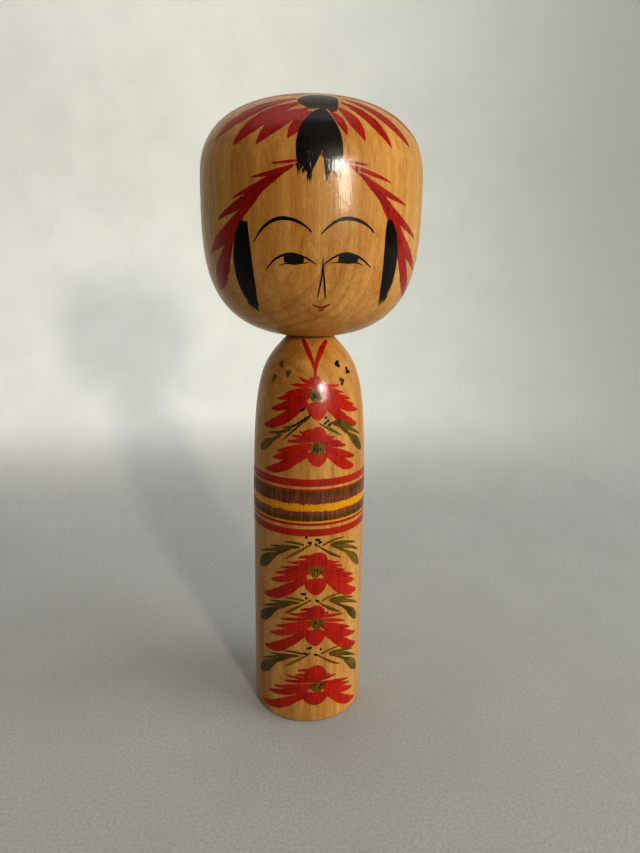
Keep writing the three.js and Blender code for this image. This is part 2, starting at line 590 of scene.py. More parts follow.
WAX = {"IOR": 1.5, "Specular IOR Level": 0.22, "Coat Weight": 0.4, "Coat Roughness": 0.11, "Coat IOR": 1.5}
GRAIN_BUMP = {"Strength": 0.5, "Distance": 0.0001}


def polished(name, group, shift, color_of=None):
    """Waxed wood, its grain moved by shift, or dye over it if color_of(nodes, wood colour) is given."""

    def make(n):
        wood = n.add("ShaderNodeGroup", node_tree=group)
        wood.inputs["Shift"].default_value = shift
        color = color_of(n, wood.outputs["Color"]) if color_of else wood.outputs["Color"]
        bump = n.add("ShaderNodeBump", {**GRAIN_BUMP, "Height": wood.outputs["Height"]}).outputs[0]
        inputs = {"Base Color": color, "Roughness": wood.outputs["Roughness"], "Normal": bump}
        return n.add("ShaderNodeBsdfPrincipled", {**inputs, "Coat Normal": bump, **WAX}).outputs[0]

    return new_material(name, make)


WET_SHARE = 0.35  # how much slow changes in the dye's wetness count
DYE_BODY = 0.5  # how much of the dye lies on the wood, rather than staining it
STAIN_LIGHT = rgb(225, 175, 110)  # the wood is made this even before the dye stains it


def dye_depth(n, streak, grain):
    """How deep the dye is: along the bristles' streaks, down the wood's pores, and where it pools."""
    marks = n.add("ShaderNodeUVMap", uv_map="Brush").outputs[0]
    edge = n.add("ShaderNodeSeparateXYZ", {0: n.add("ShaderNodeUVMap", uv_map="Edge").outputs[0]})
    tone = n.add("ShaderNodeAttribute", attribute_name="tone").outputs["Fac"]
    layers = n.add("ShaderNodeAttribute", attribute_name="layers").outputs["Fac"]
    own = {0: n.math("MULTIPLY", tone, 37.0), 1: n.math("MULTIPLY", tone, 91.0)}
    own = n.add("ShaderNodeCombineXYZ", own).outputs[0]
    drawn = n.vector("MULTIPLY", marks, (0.09, 2.4, 1.0))
    bristle = n.noise(n.vector("ADD", drawn, own), 1.0, 3, 0.6)
    place = n.add("ShaderNodeTexCoord").outputs["Object"]
    soak = n.fibres(place, 0.06, 1500, 3, 0.65)
    rim = n.between(edge.outputs[0], 0.6, 1.0, 0.0, 0.06)
    twice = n.between(layers, 1.0, 3.0, 0.0, 0.08, smooth=False)
    parts = [(bristle, streak), (soak, grain), (n.noise(place, 160), WET_SHARE), (tone, 0.1)]
    return n.total(*parts, (rim, 1.0), (twice, 1.0))


def dyed(name, group, shift, thin, deep, cover, streak, grain=0.5, under=None):
    """Dye over the wood: thin where the brush was dry, deep where it pooled or went over twice."""

    def color_of(n, wood):
        depth = dye_depth(n, streak, grain)
        middle = (streak + grain + WET_SHARE) / 2
        dye = n.mix(n.between(depth, middle - 0.16, middle + 0.34), rgb(*thin), rgb(*deep))
        stained = n.mix(1.0, n.mix(0.55, wood, STAIN_LIGHT), dye, "MULTIPLY")
        bare = n.between(depth, middle - 0.42, middle - 0.12, cover, 1.0)
        below = n.mix(0.75, wood, rgb(*under)) if under else wood
        return n.mix(bare, below, n.mix(DYE_BODY, dye, stained))

    return polished(name, group, shift, color_of)


# ---------------------------------------------------------------- turned wood


def head_outline():
    """The whole head from the tenon's end to the crown."""
    tenon = [(0, TENON_END), (TENON_RADIUS - TENON_CHAMFER, TENON_END)]
    tenon += [(TENON_RADIUS, TENON_END + TENON_CHAMFER), (TENON_RADIUS, HEAD_SEAT)]
    shell = list(zip(head_chart.radius[::-1], head_chart.height[::-1]))
    return tenon + shell[:-1] + [(0, HEAD_TOP)]


def body_outline():
    """The whole body from the middle of the base, over the shoulder, to the socket's bottom."""
    shell = list(zip(body_chart.radius, body_chart.height))
    socket = [(SOCKET_RADIUS + SOCKET_CHAMFER, NECK_FACE), (SOCKET_RADIUS, NECK_FACE - SOCKET_CHAMFER)]
    socket += [(SOCKET_RADIUS, SOCKET_FLOOR), (0, SOCKET_FLOOR - DRILL_POINT)]
    return [(0, 0), *base_edge(), *shell, *socket]


def turned(name, outline, material, body, slot):
    """Spins an outline, listed from the bottom up, round the Z axis."""
    angles = [2 * math.pi * side / SIDES for side in range(SIDES)]
    points, rings, faces = [], [], []
    for radius, height in outline:
        first = len(points)
        spread = angles if radius > 0 else [0.0]
        points += [(radius * math.sin(a) * MM, -radius * math.cos(a) * MM, height * MM) for a in spread]
        rings.append([first + (side if radius > 0 else 0) for side in range(SIDES)])
    for low, high in zip(rings, rings[1:]):
        for side in range(SIDES):
            after = (side + 1) % SIDES
            face = [low[side], low[after], high[after], high[side]]
            faces.append(list(dict.fromkeys(face)))
    mesh = smooth_mesh(name, points, faces)
    mesh.set_sharp_from_angle(angle=math.radians(SHARP_ANGLE))
    return add_piece(name, mesh, material, body, slot)


RING_COLUMNS, RING_ROWS = 900, 3
SLOW_WAVE = 5  # mm, the length of the slow waves in a ring's edge


def ragged_edge(level, rough, way, angles, teeth, seed):
    """A ring's edge at each angle: fine teeth and slow waves, about rough mm deep."""
    shifts = []
    for angle in angles:
        east, south = math.sin(angle) * BODY_RADIUS, math.cos(angle) * BODY_RADIUS
        fine = noise.noise(Vector((east / teeth, south / teeth, seed)))
        slow = noise.noise(Vector((east / SLOW_WAVE, south / SLOW_WAVE, seed + 40)))
        shifts.append(rough * (1.5 * abs(fine) + 0.3 * slow))
    return level + np.array(shifts) * way


def ring_skin(name, low, high, lift, material, slot, ragged, seed, teeth):
    """A painted ring round the body from low to high mm, with edges as ragged as given in mm."""
    angles = np.linspace(0, 2 * math.pi, RING_COLUMNS, endpoint=False)
    lower = ragged_edge(low, ragged[0], -1, angles, teeth, seed)
    upper = ragged_edge(high, ragged[1], 1, angles, teeth, seed + 5)
    points, normals, faces = [], [], []
    for height in (lift, -SKIN_SINK):
        for row in range(RING_ROWS + 1):
            share = row / RING_ROWS
            place, normal = body_chart.lay(lower * (1 - share) + upper * share, angles, height)
            points.append(place)
            normals.append(normal)
    points, normals = np.concatenate(points), np.concatenate(normals)
    around = [(side, (side + 1) % RING_COLUMNS) for side in range(RING_COLUMNS)]
    for row in range(RING_ROWS):
        near, far = row * RING_COLUMNS, (row + 1) * RING_COLUMNS
        faces += [[near + a, near + b, far + b, far + a] for a, b in around]
    top_count, inner, last = len(faces), (RING_ROWS + 1) * RING_COLUMNS, RING_ROWS * RING_COLUMNS
    faces += [[inner + c for c in reversed(face)] for face in faces[:top_count]]
    faces += [[b, a, a + inner, b + inner] for a, b in around]
    faces += [[last + a, last + b, last + b + inner, last + a + inner] for a, b in around]
    mesh = smooth_mesh(name, points.tolist(), faces)
    set_skin_normals(mesh, normals, top_count)
    marks = []
    for index in itertools.chain.from_iterable(faces[:top_count]):
        row, side = divmod(index, RING_COLUMNS)
        across = row / RING_ROWS * 2 - 1
        marks.append((angles[side] * BODY_RADIUS, across * (high - low) / 2, abs(across) * 0.7, 0.5))
    write_marks(mesh, np.array(marks), np.full(top_count, seed), np.ones(top_count), top_count)
    return add_piece(name, mesh, material, "body", slot)


# ---------------------------------------------------------------- brushwork on the head


def head_line(*knots):
    """Chart knots from (azimuth in degrees, run down from the crown in mm)."""
    return [head_chart.at(azimuth, drop) for azimuth, drop in knots]


# petals that fan out from under the crown patch: knots in mm on the head chart, half width
CROWN_PETALS = [
    ([(-3.3, -37.4), (-7.6, -40.9), (-13.0, -45.3)], 1.75),
    ([(-4.4, -36.2), (-12.2, -38.2), (-19.1, -39.9), (-25.0, -41.7)], 2.2),
    ([(-6.8, -32.1), (-15.0, -33.8), (-23.8, -34.6), (-33.6, -34.7)], 2.6),
    ([(-7.6, -28.5), (-16.2, -28.3), (-27.5, -26.9), (-39.2, -22.7)], 2.2),
    ([(2.6, -37.4), (6.1, -40.8), (8.8, -45.1)], 1.15),
    ([(5.2, -34.6), (9.8, -38.4), (16.2, -44.5)], 1.7),
    ([(6.5, -30.8), (14.2, -34.4), (21.4, -37.4), (27.6, -39.5)], 1.7),
    ([(8.3, -27.3), (17.1, -29.5), (26.2, -30.9), (35.8, -30.0)], 1.8),
    ([(10.2, -22.8), (20.6, -21.6), (31.0, -20.7), (39.7, -18.5)], 1.7),
]
FAN_CENTRE = (0.0, -27.0)
BACK_FAN = [-114, -132, -150, -168, 120, 138, 156, 174]  # directions on the chart, in degrees
BACK_PETAL = (7.0, 41.0)  # mm from the fan's centre to each end


def crown_petals(red):
    for knots, half in CROWN_PETALS:
        red.stroke(knots, half * 1.1, swell(0.5, 0.85, first=0.3), wobble=0.12)
    for number, direction in enumerate(BACK_FAN):
        angle = math.radians(direction)
        heading = np.array([math.sin(angle), -math.cos(angle)])
        bend = np.array([heading[1], -heading[0]]) * (1.6 if direction < 0 else -1.6)
        start = np.array(FAN_CENTRE) + heading * BACK_PETAL[0]
        tip = np.array(FAN_CENTRE) + heading * (BACK_PETAL[1] - 1.5 * (number % 3))
        red.stroke([start, (start + tip) / 2 + bend, tip], 2.2, swell(0.52, 0.8, first=0.3), wobble=0.12)


# ribbons beside the fringe: knots as (azimuth, drop), half width, where fullest
RIBBONS = [
    ([(-11.5, 53.8), (-17.0, 54.3), (-23.0, 54.5)], 0.3, 0.35),
    ([(-12.0, 54.8), (-21.0, 57.0), (-33.0, 58.4)], 0.6, 0.42),
    ([(-12.5, 55.2), (-21.0, 58.0), (-30.0, 61.0), (-44.0, 64.3)], 0.95, 0.42),
    ([(-18.0, 57.6), (-27.0, 60.9), (-37.0, 65.4), (-55.0, 70.6)], 1.4, 0.44),
    ([(-30.0, 64.8), (-38.0, 68.7), (-48.0, 74.6), (-66.0, 81.5)], 2.2, 0.54),
    ([(-38.0, 70.6), (-46.0, 77.0), (-55.5, 86.2), (-69.5, 94.8)], 3.3, 0.62),
    ([(-12.0, 55.0), (-21.0, 58.4), (-29.0, 63.2), (-36.0, 69.4)], 0.5, 0.7),
    ([(9.0, 53.7), (14.0, 54.0), (21.0, 54.5)], 0.22, 0.35),
    ([(10.5, 54.4), (20.0, 56.4), (34.0, 59.0)], 0.5, 0.5),
    ([(11.5, 54.7), (20.0, 58.4), (31.0, 62.2), (46.0, 65.4)], 0.8, 0.5),
    ([(17.0, 57.3), (28.0, 63.4), (40.0, 69.6), (58.0, 75.6)], 1.2, 0.44),
    ([(26.0, 62.0), (35.0, 69.8), (49.0, 79.2), (68.0, 87.0)], 1.9, 0.44),
    ([(31.0, 65.3), (40.5, 76.4), (55.0, 89.6), (75.0, 98.0)], 2.3, 0.46),
    ([(10.0, 54.3), (20.0, 58.6), (28.0, 63.4), (34.0, 69.4)], 0.6, 0.7),
]


def side_ribbons(red):
    for knots, half, peak in RIBBONS:
        wick = 1.2 if half > 1.1 else 0.5
        red.stroke(head_line(*knots), half, swell(peak, 1.0), wobble=0.15, wick=wick)
    red.stroke(head_line((-1.5, 51.6), (0.5, 52.1), (2.5, 51.6)), 0.5)


def mouth(red):
    upper = [(-4.2, 98.7), (-1.0, 99.8), (1.2, 100.2), (3.8, 99.5), (6.2, 98.5)]
    lower = [(-0.8, 101.3), (1.0, 101.4), (3.2, 100.7)]
    for knots, half, peak in ((upper, 0.42, 0.55), (lower, 0.36, 0.45)):
        red.stroke(head_line(*knots), half, swell(peak, 0.5), step=0.1, wick=0.15)


CROWN_PATCH = [
    (-6.4, -28.0), (-7.6, -29.8), (-7.0, -32.2), (-5.4, -34.6), (-3.4, -36.2), (-1.3, -35.9), (1.5, -36.2),
    (3.4, -37.4), (4.9, -36.6), (5.6, -33.5), (5.9, -29.6), (5.3, -27.0), (3.0, -25.4), (-0.6, -25.0),
    (-4.2, -26.2), (-6.4, -28.0),
]


# dry bristle ends: knots as (azimuth, drop), half width, how many, their reach, seed, thickness
FRINGE_ENDS = [
    ([(-8.6, 50.0), (-9.0, 53.0), (-9.2, 55.0)], 1.9, 8, (0.9, 3.4), 4, 0.19),
    ([(-5.0, 53.0), (-5.8, 56.0), (-6.1, 58.2)], 0.8, 3, (0.2, 2.2), 5, 0.16),
    ([(4.0, 51.0), (4.2, 54.0), (4.3, 56.0)], 1.6, 7, (0.4, 2.8), 6, 0.16),
    ([(6.6, 52.0), (7.2, 55.0), (7.0, 56.4)], 1.2, 5, (0.4, 3.6), 7, 0.16),
]
LOCK_ENDS = [
    ([(-40.6, 92.0), (-40.6, 96.0), (-40.2, 98.8)], 2.4, 8, (0.8, 3.6), 8, 0.16),
    ([(38.6, 90.0), (39.8, 94.0), (40.6, 96.6)], 2.1, 8, (0.6, 3.2), 9, 0.16),
]


def dry_ends(black, ends):
    for knots, half, count, reach, seed, fine in ends:
        black.fray(head_line(*knots), half, count, reach, seed, fine)


def fringe(black):
    """Two full strokes side by side from the crown patch, with dry, parted bristle ends."""
    top, parting = (0.4, 36.0), (-0.4, 50.6)
    left = [top, (-3.2, 37.0), (-7.2, 39.8), (-10.2, 43.4), (-11.7, 47.0), (-12.0, 50.5), (-11.5, 54.0)]
    left_foot = [(-11.5, 54.0), (-9.8, 55.0), (-8.4, 55.4), (-7.2, 56.8), (-6.0, 60.0)]
    left_inner = [(-6.0, 60.0), (-4.6, 56.6), (-2.4, 53.6), parting]
    middle = [parting, (-0.6, 45.0), top]
    right_inner = [parting, (0.2, 53.6), (0.8, 56.6), (1.7, 60.0)]
    right_foot = [(1.7, 60.0), (3.0, 57.2), (4.2, 56.2), (5.4, 57.4), (6.8, 56.6), (8.2, 56.0)]
    right = [(8.2, 56.0), (8.8, 52.5), (8.8, 49.0), (8.2, 46.0), (6.6, 42.8), (3.9, 38.8), (1.8, 36.4), top]
    black.area(*(head_line(*side) for side in (left, left_foot, left_inner, middle)))
    black.area(*(head_line(*side) for side in (middle[::-1], right_inner, right_foot, right)))
    dry_ends(black, FRINGE_ENDS)


# hair beside the face: knots as (azimuth, drop), half width, where fullest, how blunt
LOCKS = [
    ([(-37.5, 71.5), (-39.2, 76.5), (-40.4, 84.0), (-40.6, 91.0), (-40.4, 97.0)], 3.75, 0.5, 0.48),
    ([(34.0, 70.6), (36.2, 76.0), (37.8, 83.5), (39.0, 91.0), (40.4, 96.6)], 3.35, 0.47, 0.48),
]
LOCK_EDGES = [
    ([(-35.8, 71.3), (-36.6, 77.0), (-36.9, 86.0), (-37.4, 94.0), (-39.2, 102.0)], 1.7, 0.5, 0.7),
    ([(-39.2, 71.2), (-41.6, 77.0), (-43.6, 85.0), (-43.6, 93.0), (-41.4, 100.2)], 1.6, 0.5, 0.7),
    ([(-41.0, 92.0), (-41.2, 96.0), (-40.4, 99.5), (-38.2, 102.8)], 1.0, 0.4, 0.9),
    ([(32.9, 70.4), (34.0, 77.0), (35.2, 86.0), (37.0, 93.0), (40.2, 99.8)], 1.3, 0.5, 0.7),
    ([(35.4, 70.2), (38.4, 77.0), (40.8, 85.0), (41.6, 92.0), (41.0, 97.6)], 1.4, 0.5, 0.7),
]
LOCK_SLITS = [
    ([(-38.2, 89.5), (-37.6, 92.5), (-37.4, 95.5)], 0.09),
    ([(-40.4, 90.5), (-39.8, 94.0), (-39.4, 97.0)], 0.08),
]


def sidelocks(black):
    for knots, half, peak, blunt in LOCKS:
        black.stroke(head_line(*knots), half, swell(peak, blunt), wobble=0.04, wick=0.5)
    for knots, half, peak, blunt in LOCK_EDGES:
        black.stroke(head_line(*knots), half, swell(peak, blunt))
    dry_ends(black, LOCK_ENDS)
    for knots, half in LOCK_SLITS:
        black.slit(head_line(*knots), half)


BROWS = [
    [(-32.5, 78.2), (-29.5, 75.2), (-25.5, 72.6), (-20.5, 71.0), (-15.5, 70.9), (-10.0, 72.1), (-4.6, 75.0)],
    [(-0.6, 75.7), (3.6, 72.8), (8.0, 71.0), (12.5, 70.6), (17.0, 71.1), (21.5, 72.5), (25.6, 74.8)],
]
BROW_HALVES = (0.5, 0.52)
UPPER_LIDS = [
    [(-27.4, 87.4), (-23.6, 84.2), (-19.0, 82.3), (-14.0, 81.6), (-9.0, 82.4), (-2.6, 84.9)],
    [(0.9, 85.2), (4.5, 83.1), (8.4, 81.7), (12.5, 81.3), (18.0, 82.4), (25.4, 85.8)],
]
LOWER_LIDS = [
    [(-20.4, 85.6), (-17.2, 84.7), (-13.0, 84.8), (-9.0, 84.5), (-5.8, 84.3)],
    [(4.6, 84.4), (8.2, 84.1), (13.0, 84.3), (17.2, 84.2), (20.6, 85.1)],
]
PUPILS = [(-18.0, -8.1, 82.0, 84.6), (7.8, 17.9, 81.8, 84.3)]  # azimuths, then drops
NOSE = [
    ([(0.6, 82.2), (0.4, 88.0), (-0.6, 93.0), (-1.4, 96.2)], 0.25),
    ([(0.8, 84.4), (1.2, 88.0), (2.2, 93.0), (2.9, 96.7)], 0.26),
]


def pupil(black, west, east, top, low):
    """A block of five short upright dabs, a little rounded above and below."""
    for share in (0.0, 0.25, 0.5, 0.75, 1.0):
        azimuth = west + 1.3 + (east - west - 2.6) * share
        lean = (share - 0.5) * 1.1
        foot = low + 0.12 - 0.36 * (2 * share - 1) ** 2
        head = top - 0.5 + 0.55 * (2 * share - 1) ** 2
        knots = [(azimuth - lean, head), (azimuth - lean * 0.4, (head + foot) / 2), (azimuth, foot)]
        black.stroke(head_line(*knots), 0.92, swell(0.5, 0.3, 0.75, 0.75), step=0.15, wick=0.2)


def face(black):
    """Brows, eyes and nose, drawn with a fine brush."""
    for knots, half in zip(BROWS, BROW_HALVES):
        black.stroke(head_line(*knots), half, swell(0.5, 0.75, 0.28, 0.42), wobble=0.08, step=0.12, wick=0.25)
    for knots in UPPER_LIDS:
        black.stroke(head_line(*knots), 0.33, swell(0.5, 0.5, 0.3, 0.42), wobble=0.12, step=0.12, wick=0.2)
    for knots in LOWER_LIDS:
        black.stroke(head_line(*knots), 0.2, swell(0.5, 0.5), wobble=0.25, step=0.12, wick=0.2)
    for place in PUPILS:
        pupil(black, *place)
    for knots, half in NOSE:
        black.stroke(head_line(*knots), half, swell(0.6, 0.45), step=0.15, wick=0.1)


def paint_head(colours):
    red = Brushwork(head_chart, 0.65, 3.0)
    crown_petals(red)
    side_ribbons(red)
    mouth(red)
    painted_skin("head_red", red, 0.03, colours["crimson"], "head", "red_paint")
    patch = Brushwork(head_chart, 0.2, 5.0)
    patch.area(CROWN_PATCH)
    painted_skin("crown_patch", patch, 0.05, colours["wash"], "head", "black_paint")
    black = Brushwork(head_chart, 0.35, 9.0)
    fringe(black)
    sidelocks(black)
    face(black)
    painted_skin("head_black", black, 0.07, colours["black"], "head", "black_paint")


# ---------------------------------------------------------------- brushwork on the body

# flowers: centre, left tips, right tips, top petal (place, half sizes), bottom petal, all in mm
FLOWERS = [
    {
        "centre": (0.4, 138.4),
        "left": [(-7.5, 7.4), (-10.4, 4.4), (-13.0, 1.0), (-16.6, -1.4), (-19.3, -5.5), (-23.3, -12.2)],
        "right": [(11.0, 3.9), (13.2, 1.0), (16.6, -1.8), (18.7, -4.3), (21.2, -6.6), (19.9, -11.9)],
        "top": (0.4, 5.2, 2.2, 2.6), "bottom": (0.6, -5.2, 4.2, 3.2), "fullest": 1.9,
    },
    {
        "centre": (1.0, 118.5),
        "left": [(-7.2, 7.3), (-9.9, 5.3), (-11.6, 3.0), (-16.2, -1.3), (-18.2, -4.1), (-21.7, -9.4)],
        "right": [(7.1, 4.6), (10.0, 2.4), (12.4, 0.7), (17.3, -4.4), (16.9, -8.3)],
        "top": (0.0, 5.8, 3.6, 2.8), "bottom": (0.0, -3.4, 3.9, 2.9), "fullest": 1.9,
    },
    {
        "centre": (0.8, 68.3),
        "left": [(-11.2, 4.2), (-14.2, 1.1), (-16.8, -1.8), (-18.8, -5.3), (-22.9, -12.8)],
        "right": [(10.2, 3.4), (11.8, 1.3), (13.1, -1.1), (18.0, -4.6), (19.2, -7.5), (20.8, -12.5)],
        "top": (0.3, 5.2, 4.7, 3.3), "bottom": (0.1, -6.0, 4.4, 3.4), "fullest": 2.1,
    },
    {
        "centre": (1.5, 45.5),
        "left": [(-11.2, 4.5), (-14.9, 1.2), (-17.2, -2.7), (-20.1, -6.7), (-23.6, -14.1)],
        "right": [(11.6, 2.5), (13.0, -1.2), (16.0, -5.4), (20.4, -9.9), (21.2, -15.4)],
        "top": (-0.6, 5.4, 3.9, 3.0), "bottom": (-0.6, -5.9, 4.2, 3.5), "fullest": 2.1,
    },
    {
        "centre": (1.8, 16.2),
        "left": [(-12.8, 5.2), (-13.5, 2.4), (-18.4, -1.8), (-21.5, -5.2), (-25.4, -12.2)],
        "right": [(8.4, 4.6), (15.5, -0.5), (16.1, -2.7), (18.6, -6.2), (20.6, -12.4)],
        "top": (-0.8, 6.6, 4.6, 3.8), "bottom": (-0.8, -5.0, 5.3, 2.9), "fullest": 1.9,
    },
]


THINNEST_PETAL = 0.46  # mm, half width


def side_petals(red, flower):
    """Strokes that leave the flower's middle sideways and then droop, the lowest the fullest."""
    cx, cy = flower["centre"]
    for side, tips in ((-1, flower["left"]), (1, flower["right"])):
        for number, (x, y) in enumerate(tips):
            share = number / (len(tips) - 1)
            start = (cx + side * (0.9 + 2.4 * share**2), cy + 2.6 + 0.34 * y)
            tip = (cx + x, cy + y)
            droop = start[1] - tip[1]
            near = (start[0] + (tip[0] - start[0]) * 0.36, start[1] - droop * (0.18 + 0.32 * share))
            far = (start[0] + (tip[0] - start[0]) * 0.68, start[1] - droop * (0.5 + 0.35 * share))
            half = THINNEST_PETAL + (flower["fullest"] - THINNEST_PETAL) * share**1.8
            width = swell(0.42 + 0.1 * share, 1.15 - 0.45 * share, first=0.35 + 0.4 * share**2)
            red.stroke([start, near, far, tip], half, width, wobble=0.2)


CREST = [(-0.95, -0.1), (-0.6, 0.55), (-0.1, 0.95), (0.5, 0.92), (0.95, 0.35), (0.9, -0.5), (0.5, -0.98)]
CREST += [(-0.3, -0.95), (-0.8, -0.6), (-0.95, -0.1)]
LIP = [(-1.0, 0.4), (-0.8, -0.25), (-0.3, -0.85), (0.12, -1.02), (0.6, -0.72), (0.98, 0.0), (0.92, 0.6)]
LIP += [(0.5, 0.98), (-0.2, 1.0), (-0.75, 0.8), (-1.0, 0.4)]


def flower_red(red, flower):
    cx, cy = flower["centre"]
    side_petals(red, flower)
    for shape, (x, y, across, up) in ((CREST, flower["top"]), (LIP, flower["bottom"])):
        red.area([(cx + x + across * u, cy + y + up * v) for u, v in shape])
    x, y, across, up = flower["top"]
    for reach, rise, side in ((1.5, 0.5, -1), (1.75, -0.1, -1), (1.45, -0.2, 1)):
        knots = [(cx + x, cy + y + up * rise * 0.8), (cx + x + side * across, cy + y + up * rise)]
        knots.append((cx + x + side * across * reach, cy + y + up * rise * 0.9 - 0.3))
        red.stroke(knots, 0.6, swell(0.35, 0.9, first=0.6))


def flower_heart(ochre, black, flower, number):
    """Olive dabs that run together downwards, with a few black ones over them."""
    cx, cy = flower["centre"]
    draw = random.Random(number + 60)
    for step in range(5):
        spread = (step - 2) * 1.22
        top = (cx + 0.3 + spread, cy + 3.0 - 0.25 * abs(spread) + draw.uniform(-0.4, 0.4))
        low = (cx + 0.3 + spread * 0.36, cy - 2.7 + 0.45 * abs(spread) + draw.uniform(-0.4, 0.4))
        middle = ((top[0] + low[0]) / 2 + spread * 0.12, (top[1] + low[1]) / 2)
        ochre.stroke([top, middle, low], 0.8, swell(0.4, 0.6))
    for step in range(7 if number < 2 else 4):
        x = cx + 0.5 + draw.uniform(-1.9, 2.0)
        top = cy + draw.uniform(0.2, 2.9)
        low = top - draw.uniform(0.9, 2.2)
        middle = (x + draw.uniform(-0.2, 0.2), (top + low) / 2)
        tip = (x + draw.uniform(-0.3, 0.3), low)
        black.stroke([(x, top), middle, tip], draw.uniform(0.16, 0.3), swell(0.4, 0.8))


def collar(red):
    """The crossed neck edges of a kimono."""
    left = [(-8.8, 161.8), (-4.9, 158.2), (-1.9, 154.0), (-0.1, 150.0), (0.3, 146.6)]
    right = [(13.4, 160.8), (6.9, 157.8), (3.3, 154.2), (1.2, 150.4), (0.5, 147.0), (0.3, 144.4)]
    red.stroke(left, 0.85, swell(0.35, 0.6), wick=0.5)
    red.stroke(right, 0.95, swell(0.4, 0.6, last=0.2), wick=0.5)


DOT_MARKS = [(-17.7, 150.1), (-12.5, 146.8), (-19.8, 144.5), (13.2, 150.4), (18.7, 147.3), (13.4, 143.8)]


def dot_marks(black, green, ochre):
    """Sprigs of three dabs on the shoulders."""
    draw = random.Random(8)
    for brush, (x, y) in zip((ochre, ochre, ochre, black, black, green), DOT_MARKS):
        turn = draw.uniform(0, 2 * math.pi)
        for leg in range(3):
            angle = turn + leg * 2.1 + draw.uniform(-0.25, 0.25)
            out = np.array([math.cos(angle), math.sin(angle)])
            reach = draw.uniform(1.5, 1.9)
            knots = [(x, y) - out * 0.2, (x, y) + out * reach * 0.5, (x, y) + out * reach]
            brush.stroke(knots, draw.uniform(0.55, 0.75), swell(0.6, 0.7), wick=0.6)


# sprays of leaves: strokes from the stem outwards, relative to the row, with half widths
SPRAY = [
    ([(-3.6, 0.2), (-7.5, 0.9), (-11.6, 0.8)], 0.3, 0.25),
    ([(-5.4, -0.8), (-12.0, -1.3), (-18.7, -2.5)], 0.42, 0.25),
    ([(-8.4, -1.5), (-15.6, -3.4), (-23.9, -6.6)], 0.62, 0.3),
    ([(-9.6, -2.0), (-17.0, -6.4), (-25.2, -13.2)], 2.2, 0.0),
    ([(-0.8, 0.6), (-5.6, -2.4), (-11.7, -6.5)], 0.5, 0.6),
    ([(3.4, -0.2), (7.6, 1.4), (12.9, 1.7)], 0.3, 0.25),
    ([(1.4, 0.2), (6.4, -3.4), (12.1, -6.7)], 0.5, 0.6),
    ([(6.8, -0.3), (12.8, -0.6), (19.6, -2.6)], 0.62, 0.22),
    ([(7.4, -0.9), (14.6, -2.6), (23.2, -7.0)], 0.72, 0.25),
    ([(8.4, -1.5), (15.4, -6.0), (23.2, -13.8)], 1.85, 0.0),
]
PALE_STROKES = (4, 5, 6)  # the ones drawn with thinner, yellower dye
SPRAY_ROWS = [(80.0, 0.0), (56.0, 0.4), (32.0, 1.0)]  # height, and how much further the ends droop
STEM_DOTS = [
    (-2.8, 83.5), (-1.4, 81.2), (1.7, 82.3), (0.9, 80.4), (2.6, 81.2), (-3.8, 59.2), (-2.6, 57.4),
    (1.7, 56.2), (-1.2, 35.0), (3.4, 34.2), (1.4, 31.8), (-2.8, 32.4),
]


def low_sprays(green, black, ochre):
    for height, droop in SPRAY_ROWS:
        draw = random.Random(int(height))
        for number, (knots, half, peak) in enumerate(SPRAY):
            brush = ochre if number in PALE_STROKES else green
            slide = draw.uniform(-0.5, 0.5)
            moved = [(x + slide * abs(x) / 20, height + y - droop * (x / 22) ** 2) for x, y in knots]
            width = swell(peak, 0.85, first=0.4) if peak else teardrop(0.2)
            brush.stroke(moved, half * draw.uniform(0.9, 1.1), width, wobble=0.18)
    for number, (x, y) in enumerate(STEM_DOTS):
        reach = 0.5 + 0.3 * (number % 3)
        rise = (0.5 - 0.4 * (number % 4)) * 0.5
        black.stroke([(x - reach, y - rise), (x, y), (x + reach, y + rise)], 0.34, swell(0.5, 0.6))


HIGH_SPRAY = [
    ([(-1.6, 131.6), (-8.0, 127.6), (-15.5, 123.4)], 0.16, 0.4),
    ([(-1.8, 130.8), (-4.4, 129.2), (-6.9, 128.2)], 0.28, 0.5),
    ([(-5.0, 128.8), (-9.0, 127.3), (-13.2, 126.4)], 0.26, 0.5),
    ([(-5.0, 128.4), (-9.2, 124.9), (-12.8, 121.4)], 0.26, 0.5),
    ([(1.6, 128.7), (6.2, 126.2), (11.2, 123.4)], 0.34, 0.5),
    ([(5.2, 127.6), (8.8, 128.9), (12.8, 129.3)], 0.32, 0.4),
    ([(7.8, 127.9), (13.0, 127.6), (18.9, 125.9)], 0.6, 0.25),
    ([(9.6, 127.2), (16.0, 125.2), (22.8, 121.7)], 0.66, 0.3),
    ([(10.6, 126.6), (16.6, 122.2), (23.8, 115.6)], 1.75, 0.0),
]
FADED_LEAVES = [
    ([(-9.0, 126.2), (-14.0, 124.6), (-19.8, 123.6)], 0.4, 0.5),
    ([(-13.0, 123.8), (-18.0, 120.8), (-24.8, 116.2)], 1.55, 0.0),
]


